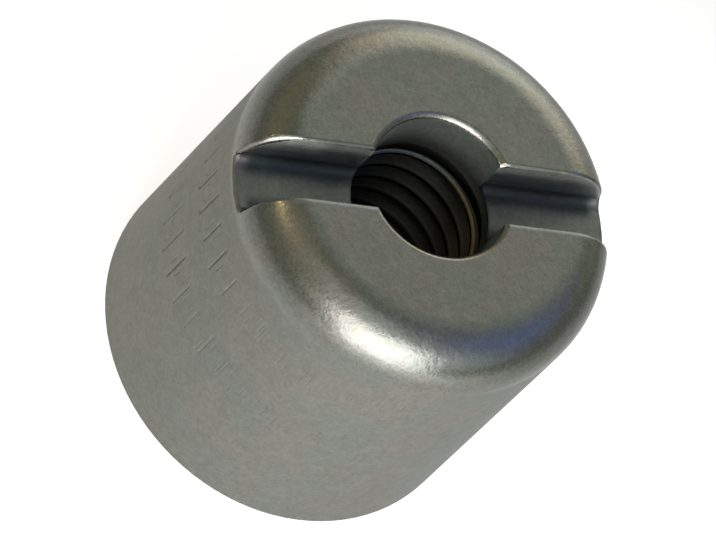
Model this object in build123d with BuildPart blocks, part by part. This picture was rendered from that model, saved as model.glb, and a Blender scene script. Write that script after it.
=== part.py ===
"""Round union nut: a turned body with a rounded shoulder, a driver slot and a tapped through hole.

Origin at the centre of the flat end, +Z along the axis towards the slotted end, slot along X.
Millimetres.
"""

import os

from build123d import *

# Turned body
body_dia = 18.0
body_height = 16.9
shoulder_radius = 2.5
base_chamfer = 0.2

# Tapped through hole, entered from the flat end
thread_major_dia = 8.0
thread_minor_dia = 6.7
entry_clearance = 0.1

# Driver slot across the slotted end, its floor corners rounded by the cutter
slot_width = 2.8
slot_depth = 2.4
slot_corner_radius = 0.5
cutter_overrun = 1.0

# Broken edges: a small chamfer at the hole's mouth, and tumbled edges all round the slot
mouth_chamfer = 0.2
edge_radius = 0.15

# Entry countersink: it opens the flat end just past the thread's major diameter
entry_radius = thread_major_dia / 2 + entry_clearance
entry_depth = entry_radius - thread_minor_dia / 2

with BuildPart() as union_nut:
    # Body: the half section is turned about the axis
    with BuildSketch(Plane.XZ) as half_section:
        Rectangle(body_dia / 2, body_height, align=(Align.MIN, Align.MIN))
        rim_corners = half_section.vertices().group_by(Axis.X)[-1].sort_by(Axis.Y)
        fillet(rim_corners[-1], radius=shoulder_radius)
        chamfer(rim_corners[0], length=base_chamfer)
    revolve(axis=Axis.Z)

    # Through hole at the thread's minor diameter, countersunk where the screw enters
    with Locations((0, 0, body_height)):
        Hole(radius=thread_minor_dia / 2)
    flat_end = union_nut.faces().group_by(Axis.Z)[0]
    entry_edge = flat_end.edges().group_by(SortBy.RADIUS)[0]
    chamfer(entry_edge, length=entry_depth)

    # Chamfered mouth at the slotted end, cut before the slot, which breaks it in two
    top_flat = union_nut.faces().filter_by(Plane.XY).group_by(Axis.Z)[-1]
    mouth_edge = top_flat.edges().group_by(SortBy.RADIUS)[0]
    chamfer(mouth_edge, length=mouth_chamfer)

    # Driver slot: its section lies in the YZ plane, open at the top, and runs right across the body
    with BuildSketch(Plane.YZ) as slot_section:
        with Locations((0, body_height - slot_depth)):
            Rectangle(slot_width, slot_depth + cutter_overrun, align=(Align.CENTER, Align.MIN))
        floor_corners = slot_section.vertices().group_by(Axis.Y)[0]
        fillet(floor_corners, radius=slot_corner_radius)
    extrude(amount=body_dia / 2 + cutter_overrun, both=True, mode=Mode.SUBTRACT)

    # Tumbled edges: from each straight edge of the two flats they run on over the shoulder and round
    # the slot's open ends
    flats = union_nut.faces().filter_by(Plane.XY).group_by(Axis.Z)[-1]
    slot_edges = flats.edges().filter_by(GeomType.LINE)
    fillet(slot_edges, radius=edge_radius)

union_nut.part.label = "union_nut"

os.makedirs("parts", exist_ok=True)
export_step(union_nut.part, "parts/union_nut.step")
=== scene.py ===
"""Studio scene for the round union nut.

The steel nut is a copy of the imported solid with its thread, its gripping marks and its worn edges
cut in. Metres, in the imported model's frame: origin at the centre of the flat end, +Z towards the
slotted end, slot along X. The angles in the values below are degrees, and azimuths run from +X
towards +Y.
"""

import math
import random
from functools import partial, reduce

import bmesh
import bpy
from mathutils import Matrix, Vector


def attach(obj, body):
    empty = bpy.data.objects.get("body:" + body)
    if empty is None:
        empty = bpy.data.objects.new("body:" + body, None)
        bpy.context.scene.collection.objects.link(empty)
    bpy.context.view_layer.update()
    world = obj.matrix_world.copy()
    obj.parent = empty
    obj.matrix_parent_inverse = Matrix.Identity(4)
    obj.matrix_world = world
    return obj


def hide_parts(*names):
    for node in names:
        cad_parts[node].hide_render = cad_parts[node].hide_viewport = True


MM = 0.001
NODE = "union_nut"

# Body, as in the imported model
BODY_RADIUS = 9.0 * MM
BODY_HEIGHT = 16.9 * MM
SHOULDER_RADIUS = 2.5 * MM
BORE_RADIUS = 3.35 * MM
SLOT_WIDTH = 2.8 * MM
MOUTH_CHAMFER = 0.2 * MM
MOUTH_RADIUS = BORE_RADIUS + MOUTH_CHAMFER
MOUTH_FOOT = BODY_HEIGHT - MOUTH_CHAMFER

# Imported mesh: how near two points are to be one, the angle up to which facets are one face, and
# how near a point is to the radius and the height of an edge of the mouth to lie on it
WELD = 0.0001 * MM
FLAT = 1
EDGE_SLACK = (0.02 * MM, 0.001 * MM)

# Wear of the edges of the mouth's chamfer
MOUTH_WEAR = 0.10 * MM
MOUTH_WEAR_STEPS = 3

# Wear of the slot's edges: burnished along the camera's side, battered at the far side's end at
# -X. A table has elevations on the shoulder, 90 being the slotted end, with the wear across and
# down, and a step is the angle between two stations of the moulding that cuts it
NEAR_EDGE_WEAR = (
    (6, 0.16 * MM, 0.13 * MM),
    (55, 0.30 * MM, 0.12 * MM),
    (90, 0.30 * MM, 0.12 * MM),
)
NEAR_EDGE_STEP = 7
FAR_END_WEAR = (
    (6, 0.16 * MM, 0.16 * MM),
    (25, 0.40 * MM, 0.40 * MM),
    (60, 0.40 * MM, 0.40 * MM),
    (84, 0.16 * MM, 0.16 * MM),
)
FAR_END_STEP = 6
MOULDING_STEPS = 8
MOULDING_CLEARANCE = 0.05 * MM

# Worn point where the hole cuts the far edge of the slot on the +X side: how far the flat on it
# lies below the sharp corner, the size of its cutter and the way it faces
CORNER_WEAR = 0.08 * MM
CORNER_SIZE = 0.60 * MM
CORNER_FACES = (-0.31, -0.73, 0.61)

# Thread, M8 x 1.25 right hand: it starts below the slotted end and runs out through the flat end
THREAD_PITCH = 1.25 * MM
THREAD_MAJOR_RADIUS = 4.0 * MM
THREAD_ROOT_FLAT = THREAD_PITCH / 4
FLANK_SLOPE = math.tan(math.radians(30))
THREAD_STARTS = BODY_HEIGHT - 2.8 * MM
THREAD_FULL = BODY_HEIGHT - 4.8 * MM
THREAD_STEPS = 96
CUTTER_CORE_RADIUS = BORE_RADIUS - 0.15 * MM
RUN_OUT_RADIUS = BORE_RADIUS - 0.02 * MM

# A point in the middle of the groove, and the turns that the cutter has below and above it
GROOVE_AZIMUTH = 22
GROOVE_HEIGHT = BODY_HEIGHT - 3.55 * MM
TURNS_BELOW = 13
TURNS_ABOVE = 2

# Gripping marks: two bands of shallow upright dents, all of them between the heights of MARK_ZONE
MARK_BANDS = (
    # first azimuth, middle height, length
    (161.5, 11.75 * MM, 2.4 * MM),
    (160.8, 7.75 * MM, 2.6 * MM),
)
MARK_ZONE = (5.5 * MM, 13.5 * MM)
MARKS_ROUND = 43
MARK_WIDTH = 0.30 * MM
MARK_DEPTH = 0.08 * MM
MARK_SEED = 43

# How far a mark strays round the nut and along it, and the shares of the length and the pressure
# that it has
MARK_TURN = (-0.4, 0.4)
MARK_SHIFT = (-0.1 * MM, 0.1 * MM)
MARK_LENGTHS = (0.85, 1.08)
MARK_PRESSURES = (0.75, 1.1)

# The toothed jaw that made them bit hardest at JAW_AZIMUTH and on the opposite side: its pressure
# midway between the two, and the shares of the length and the width that a mark has without any
JAW_AZIMUTH = 172
LEAST_PRESSURE = 0.2
LEAST_LENGTH = 0.45
LEAST_WIDTH = 0.4

# Finer marks on each side of a mark: the chance of one, how far it is turned from the mark and
# shifted from the band's middle, and its length and depth as shares of the band's and the mark's
FINE_CHANCE = 0.55
FINE_TURN = (1.9, 2.4)
FINE_SHIFT = (-0.6 * MM, 0.6 * MM)
FINE_LENGTHS = (0.25, 0.6)
FINE_DEPTHS = (0.45, 0.8)
FINE_WIDTH = 0.6 * MARK_WIDTH

# Finer hatch where the jaw slipped, at the azimuths of HATCH_ZONE and on the opposite side. A dent
# strays round the nut by a share of the distance between two, and its depth is a share of
# MARK_DEPTH. A pass cuts every third dent, so that none of them overlap
HATCH_ZONE = (208, 268)
HATCH_ROUND = 170
HATCH_PASSES = 3
HATCH_TURN = (-0.3, 0.3)
HATCH_SHIFT = (-0.75 * MM, 0.75 * MM)
HATCH_LENGTHS = (0.45 * MM, 1.1 * MM)
HATCH_DEPTHS = (0.15, 0.4)

# Normals: how near a point and a facet are to a turned surface to take its normal, and the angle
# from which facets meet in a sharp edge
TURNED_SKIN = 0.004 * MM
TURNED_TILT = 14
CREASE = 38

# Noises in the steel: scale per millimetre, detail, roughness
STEEL_NOISES = {
    "cloud": (0.33, 2.0, 0.5),
    "mottle": (1.7, 3.0, 0.5),
    "pitting": (4.6, 2.0, 0.5),
    "grain": (9.0, 3.0, 0.6),
}

# Base colours of the steel, and the values of the cloud between which one turns into the other
STEEL_GREEN = (0.218, 0.229, 0.205)
STEEL_WARM = (0.232, 0.229, 0.207)
CLOUD_TURNS = (0.38, 0.62)

# Dark specks in it: their noise, its values where they start and where they are full, their tint
STEEL_SPECKS = (
    ("mottle", 0.65, 0.35, (0.93, 0.93, 0.93)),
    ("pitting", 0.62, 0.38, (0.91, 0.91, 0.91)),
    ("grain", 0.62, 0.38, (0.88, 0.88, 0.88)),
)

# Fine relief of the steel
RELIEF_SHARES = (("grain", 1.0), ("pitting", 1.2), ("mottle", 2.0))
RELIEF_STRENGTH = 0.35
RELIEF_HEIGHT = 0.02 * MM

# Zones of the steel. A zone is where its bands and the zones named in it overlap. A band has a
# coordinate, its value where the band has no share, and its value where the band is full. Lengths
# are millimetres. "aside" is the distance from the slot's middle plane, and "facing" is how much
# a surface faces anticlockwise round the axis
STEEL_ZONES = {
    "side": (("height", 14.8, 14.2), ("radius", 8.6, 8.8)),
    "shoulder": (("height", 13.9, 14.7), ("radius", 6.4, 6.6)),
    "shoulder_top": (
        ("radius", 6.45, 6.60),
        ("radius", 7.3, 6.85),
        ("height", 16.7, 16.75),
        ("y", 1.0, 3.0),
    ),
    "bore": (("radius", 3.45, 3.40),),
    "rim": (("radius", 3.63, 3.60), ("height", 16.64, 16.68)),
    "inner_rim": ("rim", "bore"),
    "thread": (("radius", 4.3, 4.15), ("height", 14.4, 13.4)),
    "crest": ("thread", ("radius", 3.50, 3.42)),
    # painted reflection: a warm gold tint on some of the thread's crests
    "warm_reflection_crest": ("crest", ("height", 11.9, 12.4), ("x", 2.0, 3.1)),
    "slot": (("aside", 1.43, 1.41), ("height", 14.40, 14.45)),
    "slot_end": ("slot", ("radius", 8.75, 8.85)),
    "slot_near_bore": ("slot", ("radius", 5.8, 3.6), ("height", 14.56, 14.52)),
    # painted shade by the corners of the slot's floor
    "slot_corner_shade": ("slot", ("aside", 0.3, 1.1), ("height", 15.4, 14.8), ("radius", 8.7, 8.2)),
    "slot_wall": ("slot", ("height", 14.9, 15.1)),
    # painted light on the battered end of the slot's far wall
    "battered_wall_painted_light": ("slot_wall", ("x", -4.8, -5.8), ("height", 15.3, 15.9), ("y", 0.9, 1.1)),
    "slot_edge": (("aside", 1.385, 1.395), ("height", 16.68, 16.78), ("radius", 3.42, 3.50)),
    "far_edge": ("slot_edge", ("y", 1.0, 1.1), ("y", 1.60, 1.50), ("radius", 6.5, 5.9)),
    "near_edge": ("slot_edge", ("y", -1.74, -1.70), ("y", -1.0, -1.1)),
    "edge_on_shoulder": (
        ("aside", 1.405, 1.42),
        ("aside", 1.8, 1.7),
        ("radius", 5.9, 6.5),
        ("height", 14.5, 14.6),
    ),
    "worn_corner": (
        ("aside", 1.33, 1.35),
        ("aside", 1.64, 1.62),
        ("radius", 3.75, 3.72),
        ("height", 16.70, 16.72),
        ("x", 2.9, 3.0),
        ("y", 1.3, 1.35),
    ),
    "dent": (
        ("radius", 8.985, 8.955),
        ("radius", 8.7, 8.75),
        ("height", 5.5, 5.6),
        ("height", 13.7, 13.6),
    ),
    # painted shade at the floor of each dent
    "dent_floor_shade": ("dent", ("radius", 8.965, 8.945)),
    # painted shade on the flank facing clockwise, painted highlight on the one facing anticlockwise
    "shaded_flank": ("dent", ("facing", -0.05, -0.15)),
    "lit_flank": ("dent", ("facing", 0.05, 0.15)),
}

# Tints of the zones, laid on in turn. A tint that changes with the height is followed by the one
# Dent shade is painted shade, where a dent's floor or its shaded flank is
STEEL_TINTS = (
    # painted shade: the hole's wall darker deeper down, lighter near its mouth
    ("bore", (0.45, 0.48, 0.50), (1.35, 1.50, 1.48), 14.0, 15.7),
    ("inner_rim", (1.08, 0.97, 1.04)),
    ("rim", (1.00, 0.99, 0.94)),
    ("side", (1.08, 1.08, 1.08)),
    # the thread darkened by oil and by painted shade, which lifts towards its upper end
    ("thread", (0.09, 0.09, 0.085), (0.28, 0.30, 0.32), 12.8, 13.4),
    # painted highlight: the thread's crests lightened, more towards their upper end
    ("crest", (1.90, 1.85, 1.70), (3.30, 3.40, 3.40), 11.9, 12.4),
    # painted reflection of warm light on some crests
    ("warm_reflection_crest", (2.60, 2.00, 1.30)),
    # painted shade in the dents, painted highlight on their flanks facing anticlockwise
    ("dent_shade", (0.50, 0.49, 0.48)),
    ("lit_flank", (1.30, 1.30, 1.30)),
    ("slot", (0.84, 0.84, 0.86)),
    # painted light on the slot's walls, with a bluish painted reflection low down
    ("slot_wall", (1.50, 1.60, 1.85), (1.70, 1.75, 1.70), 15.4, 16.5),
    # painted light on the battered end of the far wall
    ("battered_wall_painted_light", (1.80, 1.77, 1.74)),
    # painted shade: the slot's floor and low walls darkened near its corners, bluish
    ("slot_corner_shade", (0.30, 0.36, 0.41)),
    ("slot_near_bore", (0.72, 0.72, 0.72)),
    # painted shade: the far slot edge dimmed so that it shows no glint
    ("far_edge", (0.60, 0.63, 0.62)),
    ("near_edge", (0.94, 1.00, 1.10)),
    # painted light: a band of the top face along the shoulder, on the +Y side, lightened
    ("shoulder_top", (1.12, 1.12, 1.12)),
)

# Roughness of the side and, from TOP_STARTS up, of the slotted end, and then of the zones, listed
# as their tints are
SIDE_ROUGHNESS = 0.62
TOP_ROUGHNESS = 0.42
TOP_STARTS = (16.85, 16.88)
ZONE_ROUGHNESS = (
    ("shoulder", 0.29),
    ("bore", 0.56),
    ("thread", 0.40),
    ("slot", 0.36),
    ("slot_wall", 0.42, 0.62, 15.8, 16.5),
    ("slot_corner_shade", 0.60),
    ("rim", 0.30),
    ("edge_on_shoulder", 0.24),
    ("far_edge", 0.60),
    ("near_edge", 0.42),
    ("worn_corner", 0.22),
    ("slot_end", 0.60),
)

# Share of the grain in the roughness, and the noise's mean
ROUGHNESS_SPECKLE = 0.2
NOISE_MEAN = 0.5

# Tint of reflections at a glancing angle, on the steel and in its thread
SHEEN = (0.74, 0.74, 0.74)
THREAD_SHEEN = (0.30, 0.30, 0.28)

# Floor: radius and height of its rings, their sides, its grey, and how far it is under the nut
FLOOR_RINGS = ((0.3, 0.0), (0.9, 0.0), (1.2, 0.02), (1.4, 0.08), (1.5, 0.2))
FLOOR_SIDES = 64
FLOOR_GREY = (0.45, 0.45, 0.45, 1)
FLOOR_GAP = 0.02 * MM

# Pools of light on the floor: two under the nut, one towards the key lamp and two behind the nut,
# as azimuth, distance, the radii within which a pool is full and beyond which there is none,
# strength
FLOOR_GLOWS = (
    (0, 0.0, 0.018, 0.045, 0.45),
    (0, 0.0, 0.05, 0.16, 0.31),
    (268, 0.13, 0.04, 0.12, 1.65),
    (66, 0.28, 0.08, 0.25, 1.35),
    (58, 0.9, 0.25, 0.60, 3.2),
)

# Even light of the studio and the soft glows in it: azimuth and elevation, the angles within
# which a glow is full and beyond which there is none, and its colour
SKY_LIGHT = (0.325, 0.34, 0.25)
SKY_GLOWS = (
    (58, 17, 10, 33, (1.55, 1.30, 1.10)),
    (56, 12, 6, 22, (0.75, 0.95, 1.00)),
    (46, 53, 7, 30, (0.25, 0.30, 0.34)),
    (256, 60, 6, 26, (0.91, 0.93, 1.00)),
    (-62, 25, 6, 28, (0.48, 0.52, 0.60)),
    (-28, 45, 10, 40, (0.0, 0.0, 0.22)),
    (-19, 43, 4, 22, (0.0, 0.09, 0.42)),
    (175, 55, 8, 34, (0.29, 0.21, 0.18)),
    (24, 3, 8, 26, (0.24, 0.24, 0.21)),
    (225, 26, 5, 18, (0.45, 0.44, 0.42)),
    (119, 32, 6, 24, (0.14, 0.07, 0.02)),
)

# Lamps, a broad one low in front and a small warm one: name, azimuth, elevation, distance, width,
# height, colour, radiance
LAMPS = (
    ("key", 260, 18, 0.4, 0.305, 0.40, (1.0, 0.98, 1.0), 6.1),
    ("warm_lamp", 162, 46, 0.4, 0.03, 0.03, (1.0, 0.72, 0.32), 24.0),
)

# Camera: where it looks from, the point it looks at, its roll about the line of sight, and its
# lens and sensor in millimetres
CAMERA_AZIMUTH = 226.05
CAMERA_ELEVATION = 54.91
CAMERA_DISTANCE = 0.4298
CAMERA_TARGET = Vector((-0.33, -0.40, 8.5)) * MM
CAMERA_ROLL = 45.4
CAMERA_LENS = 483.3
CAMERA_SENSOR = 36


def direction(azimuth, elevation):
    """Unit vector towards an azimuth and an elevation."""
    azimuth = math.radians(azimuth)
    elevation = math.radians(elevation)
    level = math.cos(elevation)
    return Vector((level * math.cos(azimuth), level * math.sin(azimuth), math.sin(elevation)))


def between(least, share):
    """Value from least, where the share is 0, to 1."""
    return least + (1 - least) * share


def link(name, data):
    """Object of a mesh, a lamp or a camera, linked to the scene."""
    piece = bpy.data.objects.new(name, data)
    bpy.context.scene.collection.objects.link(piece)
    return piece


def bridge(bm, rings):
    """Joins closed rings of vertices, each with the next one."""
    for lower, upper in zip(rings, rings[1:]):
        for k in range(len(lower)):
            following = (k + 1) % len(lower)
            bm.faces.new((lower[k], lower[following], upper[following], upper[k]))


def add_bar(bm, rings):
    """A closed bar through rings of vertices."""
    bridge(bm, rings)
    bm.faces.new(rings[0])
    bm.faces.new(rings[-1])


# ----------------------------------------------------------------------------------- cutters


def thread_depth_share(height):
    """How deep the tap cut at a height: 0 above the run-out, 1 below it."""
    share = (THREAD_STARTS - height) / (THREAD_STARTS - THREAD_FULL)
    return min(max(share, 0.0), 1.0)


def add_thread_cutter(bm):
    """A closed screw that fills the thread's groove: rows of points wound round a core."""
    core_depth = THREAD_MAJOR_RADIUS - CUTTER_CORE_RADIUS
    core_half_width = THREAD_ROOT_FLAT / 2 + core_depth * FLANK_SLOPE
    tap_depth = THREAD_MAJOR_RADIUS - RUN_OUT_RADIUS
    rows_per_turn = 5
    lowest = GROOVE_HEIGHT - THREAD_PITCH * (GROOVE_AZIMUTH / 360 + TURNS_BELOW)
    rows = (TURNS_BELOW + TURNS_ABOVE) * rows_per_turn

    def point(row, step):
        turn, place = divmod(row, rows_per_turn)
        middle = lowest + THREAD_PITCH * (turn + step / THREAD_STEPS)
        tip_radius = RUN_OUT_RADIUS + tap_depth * thread_depth_share(middle)
        depth = tip_radius - CUTTER_CORE_RADIUS
        tip_half_width = core_half_width - depth * FLANK_SLOPE
        offset, height = (
            (-core_half_width, 0.0),
            (-tip_half_width, depth),
            (tip_half_width, depth),
            (core_half_width, 0.0),
            (THREAD_PITCH / 2, 0.0),
        )[place]
        radius = CUTTER_CORE_RADIUS + height
        angle = 2 * math.pi * step / THREAD_STEPS
        return (radius * math.cos(angle), radius * math.sin(angle), middle + offset)

    grid = [[bm.verts.new(point(row, step)) for step in range(THREAD_STEPS)] for row in range(rows)]

    def vertex(row, step):
        """The row's end joins the start of the row one turn further on."""
        if step < THREAD_STEPS:
            return grid[row][step]
        return grid[row + rows_per_turn][0]

    for row in range(rows - 1):
        for step in range(THREAD_STEPS):
            if step == THREAD_STEPS - 1 and row + rows_per_turn + 1 >= rows:
                continue
            bm.faces.new(
                (
                    vertex(row, step),
                    vertex(row, step + 1),
                    vertex(row + 1, step + 1),
                    vertex(row + 1, step),
                )
            )

    top_row = rows - 1
    start_loop = grid[0] + [grid[row][0] for row in range(rows_per_turn, 0, -1)]
    end_rows = range(top_row - 1, top_row - rows_per_turn - 1, -1)
    end_loop = grid[top_row] + [grid[row][THREAD_STEPS - 1] for row in end_rows]
    start_apex = bm.verts.new((0, 0, lowest - THREAD_PITCH))
    end_apex = bm.verts.new((0, 0, grid[top_row][0].co.z + 2 * THREAD_PITCH))
    for loop, apex in ((start_loop, start_apex), (end_loop, end_apex)):
        for here, there in zip(loop, loop[1:] + loop[:1]):
            bm.faces.new((here, there, apex))


def wear_at(elevation, table):
    """Wear across and down at an elevation, between the rows of a wear table."""
    for (low, *start), (high, *end) in zip(table, table[1:]):
        if elevation <= high:
            share = (elevation - low) / (high - low)
            return Vector(start).lerp(Vector(end), share)
    return Vector(table[-1][1:])


def slot_edge(end, side, table, step):
    """Stations on half an edge of the slot, from its end inwards: corner, outward normal, wear."""
    edge_y = SLOT_WIDTH / 2
    stations = []
    for elevation in range(table[0][0], table[-1][0] + 1, step):
        lean = math.radians(elevation)
        radius = BODY_RADIUS - SHOULDER_RADIUS * (1 - math.cos(lean))
        height = BODY_HEIGHT - SHOULDER_RADIUS * (1 - math.sin(lean))
        corner = Vector((end * math.sqrt(radius**2 - edge_y**2), side * edge_y, height))
        normal = Vector((end * math.cos(lean), 0, math.sin(lean)))
        stations.append((corner, normal, wear_at(elevation, table)))
    return stations


def add_moulding(bm, stations, side):
    """A long moulding that rounds an edge of the slot."""
    clear = MOULDING_CLEARANCE
    across = Vector((0, side, 0))
    rings = []
    for corner, normal, wear in stations:
        profile = [(-clear, -wear.y)]
        for step in range(MOULDING_STEPS + 1):
            turn = math.pi / 2 * step / MOULDING_STEPS
            profile.append((wear.x * (1 - math.cos(turn)), wear.y * (math.sin(turn) - 1)))
        profile += [(wear.x, clear), (-clear, clear)]
        rings.append([bm.verts.new(corner + across * out + normal * up) for out, up in profile])
    add_bar(bm, rings)


def add_near_edge_cutter(bm):
    """The burnished edge on the camera's side, from end to end."""
    left, right = [slot_edge(end, -1, NEAR_EDGE_WEAR, NEAR_EDGE_STEP) for end in (-1, 1)]
    add_moulding(bm, left + right[::-1], -1)


def add_far_end_cutter(bm):
    """The battered end of the far edge."""
    add_moulding(bm, slot_edge(-1, 1, FAR_END_WEAR, FAR_END_STEP), 1)


def add_corner_cutter(bm):
    """A small block that flattens the point where the hole cuts the far edge of the slot."""
    edge_y = SLOT_WIDTH / 2
    facing = Vector(CORNER_FACES).normalized()
    corner = Vector((math.sqrt(MOUTH_RADIUS**2 - edge_y**2), edge_y, BODY_HEIGHT))
    middle = corner + facing * (CORNER_SIZE / 2 - CORNER_WEAR)
    turn = facing.to_track_quat("Z", "Y").to_matrix().to_4x4()
    bmesh.ops.create_cube(bm, size=CORNER_SIZE, matrix=Matrix.Translation(middle) @ turn)


def add_mark_cutter(bm, azimuth, middle, length, width, depth):
    """A shallow boat-shaped wedge that dents the side along the axis."""
    outside = depth / 2
    stations = (
        # share of the length from the middle, share of the depth
        (-0.5, -0.2),
        (-0.44, 0.85),
        (0.0, 1.0),
        (0.44, 0.85),
        (0.5, -0.2),
    )
    outward = direction(azimuth, 0)
    across = Vector((-outward.y, outward.x, 0))
    rings = []
    for along, deep in stations:
        foot = Vector((0, 0, middle + along * length))
        tip = foot + outward * (BODY_RADIUS - deep * depth)
        top = foot + outward * (BODY_RADIUS + outside)
        reach = (outside + deep * depth) / depth * width / 2
        rings.append([bm.verts.new(p) for p in (tip, top + across * reach, top - across * reach)])
    add_bar(bm, rings)


def add_mark_cutters(bm):
    """Both bands of gripping marks, with finer marks beside them."""
    rng = random.Random(MARK_SEED)
    for first_azimuth, middle, length in MARK_BANDS:
        for k in range(MARKS_ROUND):
            azimuth = first_azimuth + 360 * k / MARKS_ROUND + rng.uniform(*MARK_TURN)
            toothed = math.cos(math.radians(azimuth - JAW_AZIMUTH)) ** 4
            bite = between(LEAST_PRESSURE, toothed)
            pressure = bite * rng.uniform(*MARK_PRESSURES)
            add_mark_cutter(
                bm,
                azimuth=azimuth,
                middle=middle + rng.uniform(*MARK_SHIFT),
                length=length * rng.uniform(*MARK_LENGTHS) * between(LEAST_LENGTH, bite),
                width=MARK_WIDTH * between(LEAST_WIDTH, pressure),
                depth=MARK_DEPTH * pressure,
            )
            for way in (-1, 1):
                if rng.random() < FINE_CHANCE:
                    add_mark_cutter(
                        bm,
                        azimuth=azimuth + way * rng.uniform(*FINE_TURN),
                        middle=middle + rng.uniform(*FINE_SHIFT),
                        length=length * rng.uniform(*FINE_LENGTHS),
                        width=FINE_WIDTH,
                        depth=MARK_DEPTH * pressure * rng.uniform(*FINE_DEPTHS),
                    )


def add_hatch_cutters(bm, first):
    """One pass of the finer hatch, from its first dent on."""
    rng = random.Random(MARK_SEED + first)
    for _, middle, _ in MARK_BANDS:
        for k in range(first, HATCH_ROUND, HATCH_PASSES):
            azimuth = 360 * (k + rng.uniform(*HATCH_TURN)) / HATCH_ROUND
            height = middle + rng.uniform(*HATCH_SHIFT)
            length = rng.uniform(*HATCH_LENGTHS)
            depth = MARK_DEPTH * rng.uniform(*HATCH_DEPTHS)
            if HATCH_ZONE[0] < azimuth % 180 + 180 < HATCH_ZONE[1]:
                add_mark_cutter(bm, azimuth, height, length, FINE_WIDTH, depth)


def cut(piece, fill):
    """Cuts the closed mesh that fill(bm) makes out of the piece."""
    bm = bmesh.new()
    fill(bm)
    bmesh.ops.recalc_face_normals(bm, faces=bm.faces)
    cutter_mesh = bpy.data.meshes.new("cutter")
    bm.to_mesh(cutter_mesh)
    bm.free()
    cutter = link("cutter", cutter_mesh)

    modifier = piece.modifiers.new("cut", "BOOLEAN")
    modifier.object = cutter
    modifier.operation = "DIFFERENCE"
    modifier.solver = "MANIFOLD"
    evaluated = piece.evaluated_get(bpy.context.evaluated_depsgraph_get())
    mesh = bpy.data.meshes.new_from_object(evaluated)
    piece.modifiers.remove(modifier)
    piece.data = mesh
    bpy.data.objects.remove(cutter)


# --------------------------------------------------------------------------------------- nut


def round_mouth(bm):
    """Rounds both edges of the chamfer at the hole's mouth, which tumbling has worn."""
    rings = ((MOUTH_RADIUS, BODY_HEIGHT), (BORE_RADIUS, MOUTH_FOOT))
    radius_slack, height_slack = EDGE_SLACK

    def ring_of(vertex):
        """The ring that a vertex lies on, or None."""
        for radius, height in rings:
            off_radius = abs(math.hypot(vertex.co.x, vertex.co.y) - radius)
            if off_radius < radius_slack and abs(vertex.co.z - height) < height_slack:
                return radius, height
        return None

    flat = math.radians(FLAT)
    bmesh.ops.dissolve_limit(bm, angle_limit=flat, verts=bm.verts, edges=bm.edges)
    edges = []
    for edge in bm.edges:
        start, end = [ring_of(vertex) for vertex in edge.verts]
        if start and start == end:
            edges.append(edge)
    bmesh.ops.bevel(
        bm,
        geom=edges,
        offset=MOUTH_WEAR,
        segments=MOUTH_WEAR_STEPS,
        profile=0.5,
        affect="EDGES",
    )
    bmesh.ops.triangulate(bm, faces=[face for face in bm.faces if len(face.verts) > 4])


def turned_normal(point, facing):
    """Normal of the turned surface that a point lies on, or None where it lies on none."""
    radius = math.hypot(point.x, point.y)
    if radius < BORE_RADIUS / 2:
        return None
    radial = Vector((point.x / radius, point.y / radius, 0))
    ring = radial * (BODY_RADIUS - SHOULDER_RADIUS) + Vector((0, 0, BODY_HEIGHT - SHOULDER_RADIUS))
    from_ring = point - ring
    candidates = []
    if abs(radius - BODY_RADIUS) < TURNED_SKIN:
        candidates.append(radial)
    if abs(radius - BORE_RADIUS) < TURNED_SKIN:
        candidates.append(-radial)
    if abs(from_ring.length - SHOULDER_RADIUS) < TURNED_SKIN and from_ring.z > -TURNED_SKIN:
        candidates.append(from_ring.normalized())
    if abs(point.z - BODY_HEIGHT) < TURNED_SKIN:
        candidates.append(Vector((0, 0, 1)))
    if abs(point.z) < TURNED_SKIN:
        candidates.append(Vector((0, 0, -1)))
    near = math.cos(math.radians(TURNED_TILT))
    candidates = [normal for normal in candidates if normal.dot(facing) > near]
    if not candidates:
        return None
    return max(candidates, key=facing.dot)


def is_dent(face):
    """Whether a face belongs to a gripping mark: just under the side's surface, not along it."""
    middle = face.calc_center_median()
    low, high = MARK_ZONE
    depth = BODY_RADIUS - math.hypot(middle.x, middle.y)
    if not (low < middle.z < high and 0 < depth < 2 * MARK_DEPTH):
        return False
    return turned_normal(middle, face.normal) is None


def shade(mesh):
    """Normals: flat in the dents, true ones on turned surfaces, area-weighted ones elsewhere."""
    crease = math.cos(math.radians(CREASE))
    bm = bmesh.new()
    bm.from_mesh(mesh)
    bm.normal_update()
    weighted = {face: face.normal * face.calc_area() for face in bm.faces}
    normals = []
    for face in bm.faces:
        if is_dent(face):
            normals += [face.normal.copy() for loop in face.loops]
            continue
        for loop in face.loops:
            normal = turned_normal(loop.vert.co, face.normal)
            if normal is None:
                around = [f for f in loop.vert.link_faces if f.normal.dot(face.normal) > crease]
                normal = sum((weighted[f] for f in around), Vector()).normalized()
            normals.append(normal)
    for face in bm.faces:
        face.smooth = True
    bm.to_mesh(mesh)
    bm.free()
    mesh.normals_split_custom_set(normals)


def build_nut(frame):
    """The steel nut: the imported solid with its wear, thread and gripping marks cut in."""
    mesh = frame["nodes"][NODE].data.copy()
    bm = bmesh.new()
    bm.from_mesh(mesh)
    bmesh.ops.remove_doubles(bm, verts=bm.verts, dist=WELD)
    round_mouth(bm)
    bm.to_mesh(mesh)
    bm.free()
    nut = link("nut_body", mesh)
    cut(nut, add_near_edge_cutter)
    cut(nut, add_far_end_cutter)
    cut(nut, add_corner_cutter)
    cut(nut, add_thread_cutter)
    cut(nut, add_mark_cutters)
    for first in range(HATCH_PASSES):
        cut(nut, partial(add_hatch_cutters, first=first))
    shade(nut.data)
    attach(nut, "root")
    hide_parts(NODE)
    nut.data.materials.clear()
    nut.data.materials.append(steel_material())


# --------------------------------------------------------------------------------- materials


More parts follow.
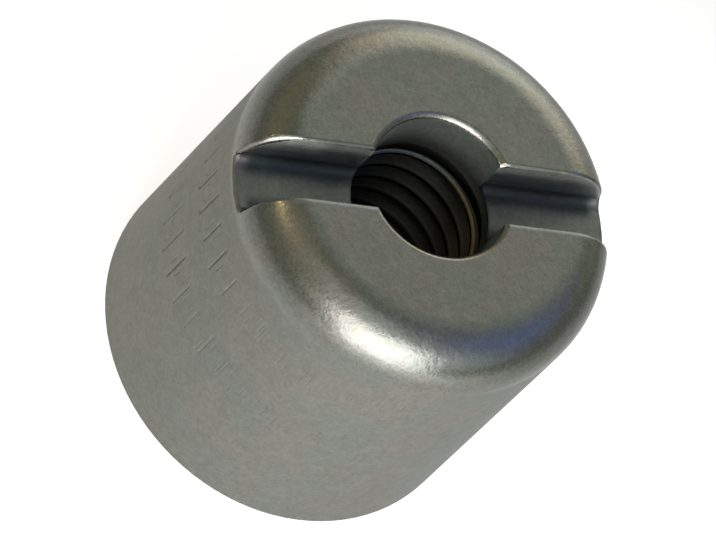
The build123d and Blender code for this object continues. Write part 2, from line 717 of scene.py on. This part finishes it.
class Nodes:
    """Short calls for building a node tree."""

    def __init__(self, tree):
        self.tree = tree
        tree.nodes.clear()

    def add(self, kind, settings=None, **inputs):
        """A node; inputs are named as its sockets, with _ for a space, or in_0, in_1 by place."""
        node = self.tree.nodes.new(kind)
        for name, value in (settings or {}).items():
            setattr(node, name, value)
        for name, value in inputs.items():
            key = int(name[3:]) if name.startswith("in_") else name.replace("_", " ")
            if isinstance(value, bpy.types.NodeSocket):
                self.tree.links.new(value, node.inputs[key])
            else:
                node.inputs[key].default_value = value
        return node

    def math(self, operation, a, b, clamp=False):
        """Number that an operation on two numbers gives."""
        settings = {"operation": operation, "use_clamp": clamp}
        return self.add("ShaderNodeMath", settings, in_0=a, in_1=b).outputs[0]

    def vector(self, operation, *vectors):
        """Vector that an operation on vectors gives, or the number where it gives one."""
        inputs = {f"in_{k}": vector for k, vector in enumerate(vectors)}
        node = self.add("ShaderNodeVectorMath", {"operation": operation}, **inputs)
        gives_number = operation in ("DISTANCE", "DOT_PRODUCT", "LENGTH")
        return node.outputs["Value" if gives_number else "Vector"]

    def mix_numbers(self, share, a, b):
        """Number between two, b where the share is full."""
        node = self.add("ShaderNodeMix", {"data_type": "FLOAT"}, in_0=share, in_2=a, in_3=b)
        return node.outputs[0]

    def mix_colours(self, share, a, b, blend="MIX"):
        """Colour between two, b blended into a where the share is full."""
        a, b = [(*colour, 1) if isinstance(colour, tuple) else colour for colour in (a, b)]
        settings = {"data_type": "RGBA", "blend_type": blend}
        return self.add("ShaderNodeMix", settings, in_0=share, in_6=a, in_7=b).outputs[2]

    def ramp(self, value, first, last, start=0.0, end=1.0):
        """start up to first, end from last on, a smooth step between; last may be the lower."""
        node = self.add(
            "ShaderNodeMapRange",
            {"interpolation_type": "SMOOTHSTEP"},
            Value=value,
            From_Min=first,
            From_Max=last,
            To_Min=start,
            To_Max=end,
        )
        return node.outputs["Result"]

    def noise(self, place, scale, detail, roughness):
        """Value of a noise at a place."""
        node = self.add(
            "ShaderNodeTexNoise", Vector=place, Scale=scale, Detail=detail, Roughness=roughness
        )
        return node.outputs["Fac"]


def node_material(name):
    """A new material and the calls that build its nodes."""
    material = bpy.data.materials.new(name)
    material.use_nodes = True
    return material, Nodes(material.node_tree)


def steel_coordinates(nodes, place):
    """The coordinates of the steel's bands, from a place in millimetres."""
    xyz = nodes.add("ShaderNodeSeparateXYZ", Vector=place).outputs
    minus_y = nodes.math("MULTIPLY", xyz["Y"], -1.0)
    anticlockwise = nodes.add("ShaderNodeCombineXYZ", X=minus_y, Y=xyz["X"]).outputs[0]
    anticlockwise = nodes.vector("NORMALIZE", anticlockwise)
    true_normal = nodes.add("ShaderNodeNewGeometry").outputs["True Normal"]
    return {
        "x": xyz["X"],
        "y": xyz["Y"],
        "height": xyz["Z"],
        "aside": nodes.math("ABSOLUTE", xyz["Y"], 0.0),
        "radius": nodes.vector("LENGTH", nodes.vector("MULTIPLY", place, (1, 1, 0))),
        "facing": nodes.vector("DOT_PRODUCT", true_normal, anticlockwise),
    }


def zone_shares(nodes, coordinates):
    """Share of each zone of the steel."""
    shares = {}
    for name, parts in STEEL_ZONES.items():
        part_shares = []
        for part in parts:
            if part in shares:
                part_shares.append(shares[part])
            else:
                coordinate, none, full = part
                part_shares.append(nodes.ramp(coordinates[coordinate], none, full))
        shares[name] = reduce(partial(nodes.math, "MULTIPLY"), part_shares)
    # painted shade of the dents: their floors and their flanks that face clockwise
    shares["dent_shade"] = nodes.math("MAXIMUM", shares["shaded_flank"], shares["dent_floor_shade"])
    return shares


def steel_colour(nodes, noises, shares, height):
    """Base colour: faint green and warm clouds with dark specks, tinted zone by zone."""
    cloud = nodes.ramp(noises["cloud"], *CLOUD_TURNS)
    colour = nodes.mix_colours(cloud, STEEL_GREEN, STEEL_WARM)
    for name, none, full, tint in STEEL_SPECKS:
        share = nodes.ramp(noises[name], none, full)
        colour = nodes.mix_colours(share, colour, tint, "MULTIPLY")
    for name, tint, *change in STEEL_TINTS:
        if change:
            higher_tint, low, high = change
            tint = nodes.mix_colours(nodes.ramp(height, low, high), tint, higher_tint)
        colour = nodes.mix_colours(shares[name], colour, tint, "MULTIPLY")
    return colour


def steel_roughness(nodes, grain, shares, height):
    """Roughness zone by zone, speckled by the grain."""
    rough = nodes.ramp(height, *TOP_STARTS, SIDE_ROUGHNESS, TOP_ROUGHNESS)
    for name, value, *change in ZONE_ROUGHNESS:
        if change:
            higher_value, low, high = change
            value = nodes.ramp(height, low, high, value, higher_value)
        rough = nodes.mix_numbers(shares[name], rough, value)
    off_mean = nodes.math("SUBTRACT", grain, NOISE_MEAN)
    speckle = nodes.math("MULTIPLY", off_mean, ROUGHNESS_SPECKLE)
    return nodes.math("ADD", rough, speckle, clamp=True)


def steel_bump(nodes, noises):
    """Normal of the fine relief."""
    reliefs = [nodes.math("MULTIPLY", noises[name], share) for name, share in RELIEF_SHARES]
    relief = reduce(partial(nodes.math, "ADD"), reliefs)
    bump = nodes.add(
        "ShaderNodeBump", Strength=RELIEF_STRENGTH, Distance=RELIEF_HEIGHT, Height=relief
    )
    return bump.outputs["Normal"]


def steel_material():
    """Tumbled stainless steel: satin, more polished on the shoulder, painted shade in slot and
    thread.
    """
    material, nodes = node_material("tumbled_steel")
    place = nodes.add("ShaderNodeTexCoord").outputs["Object"]
    to_mm = (1 / MM, 1 / MM, 1 / MM)
    place = nodes.add("ShaderNodeMapping", Vector=place, Scale=to_mm).outputs["Vector"]
    noises = {name: nodes.noise(place, *values) for name, values in STEEL_NOISES.items()}
    coordinates = steel_coordinates(nodes, place)
    height = coordinates["height"]
    shares = zone_shares(nodes, coordinates)
    surface = nodes.add(
        "ShaderNodeBsdfPrincipled",
        Base_Color=steel_colour(nodes, noises, shares, height),
        Metallic=1.0,
        Roughness=steel_roughness(nodes, noises["grain"], shares, height),
        Specular_Tint=nodes.mix_colours(shares["thread"], SHEEN, THREAD_SHEEN),
        Normal=steel_bump(nodes, noises),
    )
    nodes.add("ShaderNodeOutputMaterial", Surface=surface.outputs["BSDF"])
    return material


def floor_material():
    """Pale paint whose glow only the camera and mirrors see; clear from below."""
    material, nodes = node_material("pale_floor")
    rays = nodes.add("ShaderNodeLightPath").outputs
    seen = nodes.math("MAXIMUM", rays["Is Camera Ray"], rays["Is Glossy Ray"])
    seen = nodes.math("MAXIMUM", seen, rays["Is Transmission Ray"])
    place = nodes.add("ShaderNodeTexCoord").outputs["Object"]
    light = 0.0
    for azimuth, distance, full, none, strength in FLOOR_GLOWS:
        away = nodes.vector("DISTANCE", place, direction(azimuth, 0) * distance)
        light = nodes.math("ADD", light, nodes.ramp(away, full, none, strength, 0.0))
    paint = nodes.add("ShaderNodeBsdfDiffuse", Color=FLOOR_GREY).outputs[0]
    glow = nodes.add("ShaderNodeEmission", Strength=nodes.math("MULTIPLY", seen, light)).outputs[0]
    painted = nodes.add("ShaderNodeAddShader", in_0=paint, in_1=glow).outputs[0]
    from_below = nodes.add("ShaderNodeNewGeometry").outputs["Backfacing"]
    clear = nodes.add("ShaderNodeBsdfTransparent").outputs[0]
    shown = nodes.add("ShaderNodeMixShader", in_0=from_below, in_1=painted, in_2=clear)
    nodes.add("ShaderNodeOutputMaterial", Surface=shown.outputs[0])
    return material


# ------------------------------------------------------------------------------------ studio


def build_floor():
    """A large pale floor, its far rim curved up so that it is the backdrop from every side.

    It lies a hair under the nut and is clear from below, so that the flat end can be seen.
    """
    bm = bmesh.new()
    rings = []
    for radius, height in FLOOR_RINGS:
        ring = []
        for k in range(FLOOR_SIDES):
            place = direction(360 * k / FLOOR_SIDES, 0) * radius
            place.z = height - FLOOR_GAP
            ring.append(bm.verts.new(place))
        rings.append(ring)
    bm.faces.new(rings[0])
    # from the rim inwards, so that the faces look up
    bridge(bm, rings[::-1])
    for face in bm.faces:
        face.smooth = True
    mesh = bpy.data.meshes.new("floor")
    bm.to_mesh(mesh)
    bm.free()
    mesh.materials.append(floor_material())
    floor = link("floor", mesh)


def add_lamp(name, azimuth, elevation, distance, width, height, colour, radiance):
    """A flat lamp that faces the nut and shows in its reflections."""
    data = bpy.data.lights.new(name, "AREA")
    data.shape = "RECTANGLE"
    data.size = width
    data.size_y = height
    data.color = colour
    data.energy = radiance * width * height * math.pi
    lamp = link(name, data)
    towards = direction(azimuth, elevation)
    position = Vector((0, 0, BODY_HEIGHT / 2)) + towards * distance
    turn = towards.to_track_quat("Z", "Y").to_matrix().to_4x4()
    lamp.matrix_world = Matrix.Translation(position) @ turn
    lamp.visible_camera = False


def add_sky():
    """Even light from all round, with soft glows in it."""
    world = bpy.data.worlds.new("studio")
    world.use_nodes = True
    nodes = Nodes(world.node_tree)
    towards = nodes.add("ShaderNodeTexCoord").outputs["Generated"]
    light = SKY_LIGHT
    for azimuth, elevation, full, none, colour in SKY_GLOWS:
        aim = nodes.vector("DOT_PRODUCT", towards, direction(azimuth, elevation))
        share = nodes.ramp(aim, math.cos(math.radians(none)), math.cos(math.radians(full)))
        light = nodes.mix_colours(share, light, colour, "ADD")
    sky = nodes.add("ShaderNodeBackground", Color=light, Strength=1.0)
    nodes.add("ShaderNodeOutputWorld", Surface=sky.outputs[0])
    bpy.context.scene.world = world


def add_camera():
    """The photograph's point of view."""
    backward = direction(CAMERA_AZIMUTH, CAMERA_ELEVATION)
    level_right = Vector((0, 0, 1)).cross(backward).normalized()
    level_up = backward.cross(level_right)
    roll = math.radians(CAMERA_ROLL)
    right = level_right * math.cos(roll) + level_up * math.sin(roll)
    up = backward.cross(right)
    data = bpy.data.cameras.new("camera")
    data.sensor_width = CAMERA_SENSOR
    data.lens = CAMERA_LENS
    camera = link("camera", data)
    position = CAMERA_TARGET + backward * CAMERA_DISTANCE
    turn = Matrix((right, up, backward)).transposed().to_4x4()
    camera.matrix_world = Matrix.Translation(position) @ turn
    bpy.context.scene.camera = camera


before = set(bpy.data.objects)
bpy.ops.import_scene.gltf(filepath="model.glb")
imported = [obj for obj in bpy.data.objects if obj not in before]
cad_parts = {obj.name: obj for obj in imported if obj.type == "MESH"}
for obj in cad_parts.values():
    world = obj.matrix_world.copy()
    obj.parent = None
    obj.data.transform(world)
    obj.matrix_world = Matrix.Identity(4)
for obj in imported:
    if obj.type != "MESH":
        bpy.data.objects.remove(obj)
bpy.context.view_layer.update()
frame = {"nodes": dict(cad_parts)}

build_nut(frame)
build_floor()
for lamp in LAMPS:
    add_lamp(*lamp)
add_sky()
add_camera()
bpy.context.scene.view_settings.view_transform = "Standard"
